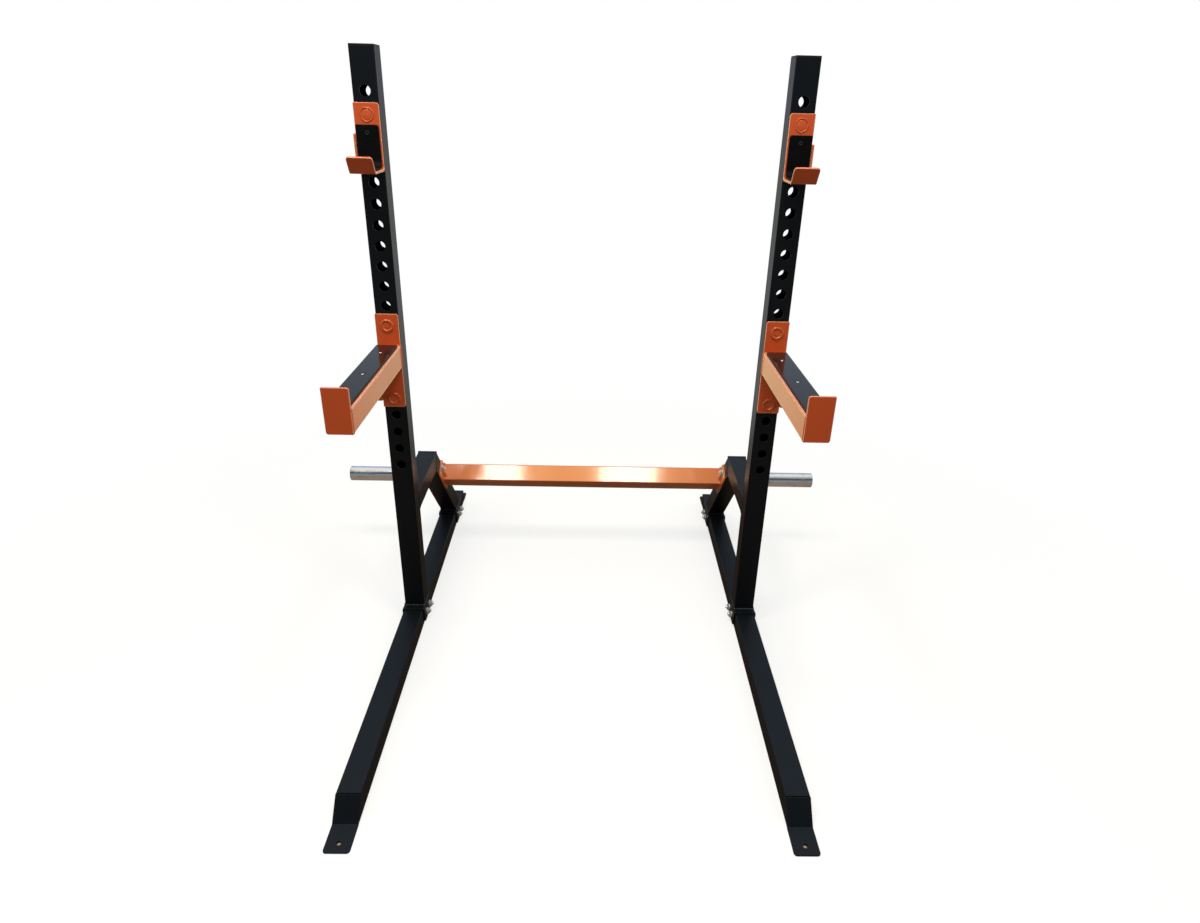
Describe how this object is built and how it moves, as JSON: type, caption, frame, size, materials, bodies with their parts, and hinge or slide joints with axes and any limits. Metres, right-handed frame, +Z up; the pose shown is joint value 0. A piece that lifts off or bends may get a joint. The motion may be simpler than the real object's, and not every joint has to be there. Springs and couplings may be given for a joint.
{
  "type": "half rack",
  "caption": "Free-standing strength-training half rack: holed square uprights on long floor tubes, braced behind, with lift-off bar cups and safety arms.",
  "frame": {"origin": "middle of the footprint, on the floor", "axes": "+X to the right of a viewer who faces the rack's front, +Y from the front feet to the rear feet, +Z up; the uprights' front faces lie at Y = -0.011 m"},
  "size_m": [1.6086, 1.748, 1.602],
  "materials": {
    "black_powder_coat": "satin black powder coat",
    "orange_powder_coat": "satin orange powder coat",
    "peg_chrome": "polished chrome",
    "zinc": "bright zinc plate",
    "black_plastic": "moulded plastic plug",
    "liner_plastic": "black wear liner",
    "spotter_pad_plastic": "smooth black wear pad"
  },
  "bodies": {
    "frame": {"crossbar": "orange_powder_coat", "upright_left": "black_powder_coat", "upright_cap_left": "black_plastic", "floor_tube_left": "black_powder_coat", "front_foot_plate_left": "black_powder_coat", "rear_foot_plate_left": "black_powder_coat", "front_saddle_left": "black_powder_coat", "front_saddle_bolt_front_left": "zinc", "front_saddle_bolt_rear_left": "zinc", "rear_saddle_left": "black_powder_coat", "rear_saddle_bolt_front_left": "zinc", "rear_saddle_bolt_rear_left": "zinc", "rear_beam_left": "black_powder_coat", "rear_leg_left": "black_powder_coat", "crossbar_flange_left": "orange_powder_coat", "crossbar_bolt_upper_left": "zinc", "crossbar_bolt_lower_left": "zinc", "weight_peg_left": "peg_chrome", "peg_plug_left": "black_plastic", "upright_right": "black_powder_coat", "upright_cap_right": "black_plastic", "floor_tube_right": "black_powder_coat", "front_foot_plate_right": "black_powder_coat", "rear_foot_plate_right": "black_powder_coat", "front_saddle_right": "black_powder_coat", "front_saddle_bolt_front_right": "zinc", "front_saddle_bolt_rear_right": "zinc", "rear_saddle_right": "black_powder_coat", "rear_saddle_bolt_front_right": "zinc", "rear_saddle_bolt_rear_right": "zinc", "rear_beam_right": "black_powder_coat", "rear_leg_right": "black_powder_coat", "crossbar_flange_right": "orange_powder_coat", "crossbar_bolt_upper_right": "zinc", "crossbar_bolt_lower_right": "zinc", "weight_peg_right": "peg_chrome", "peg_plug_right": "black_plastic"},
    "jcup_left_assembly": {"jcup_left": "orange_powder_coat", "jcup_side_plate_left": "orange_powder_coat", "jcup_pin_left": "orange_powder_coat", "jcup_liner_left": "liner_plastic"},
    "spotter_left_assembly": {"spotter_plate_left": "orange_powder_coat", "spotter_side_plate_left": "orange_powder_coat", "spotter_upper_pin_left": "orange_powder_coat", "spotter_lower_pin_left": "orange_powder_coat", "spotter_arm_left": "orange_powder_coat", "spotter_end_plate_left": "orange_powder_coat", "spotter_pad_left": "spotter_pad_plastic"},
    "jcup_right_assembly": {"jcup_right": "orange_powder_coat", "jcup_side_plate_right": "orange_powder_coat", "jcup_pin_right": "orange_powder_coat", "jcup_liner_right": "liner_plastic"},
    "spotter_right_assembly": {"spotter_plate_right": "orange_powder_coat", "spotter_side_plate_right": "orange_powder_coat", "spotter_upper_pin_right": "orange_powder_coat", "spotter_lower_pin_right": "orange_powder_coat", "spotter_arm_right": "orange_powder_coat", "spotter_end_plate_right": "orange_powder_coat", "spotter_pad_right": "spotter_pad_plastic"}
  },
  "joints": [
    {"name": "jcup_left_pull_out", "type": "slide", "parent": "frame", "child": "jcup_left_assembly", "axis": [0, -1, 0], "range_m": [0, 0.08]},
    {"name": "spotter_left_pull_out", "type": "slide", "parent": "frame", "child": "spotter_left_assembly", "axis": [0, -1, 0], "range_m": [0, 0.08]},
    {"name": "jcup_right_pull_out", "type": "slide", "parent": "frame", "child": "jcup_right_assembly", "axis": [0, -1, 0], "range_m": [0, 0.08]},
    {"name": "spotter_right_pull_out", "type": "slide", "parent": "frame", "child": "spotter_right_assembly", "axis": [0, -1, 0], "range_m": [0, 0.08]}
  ]
}
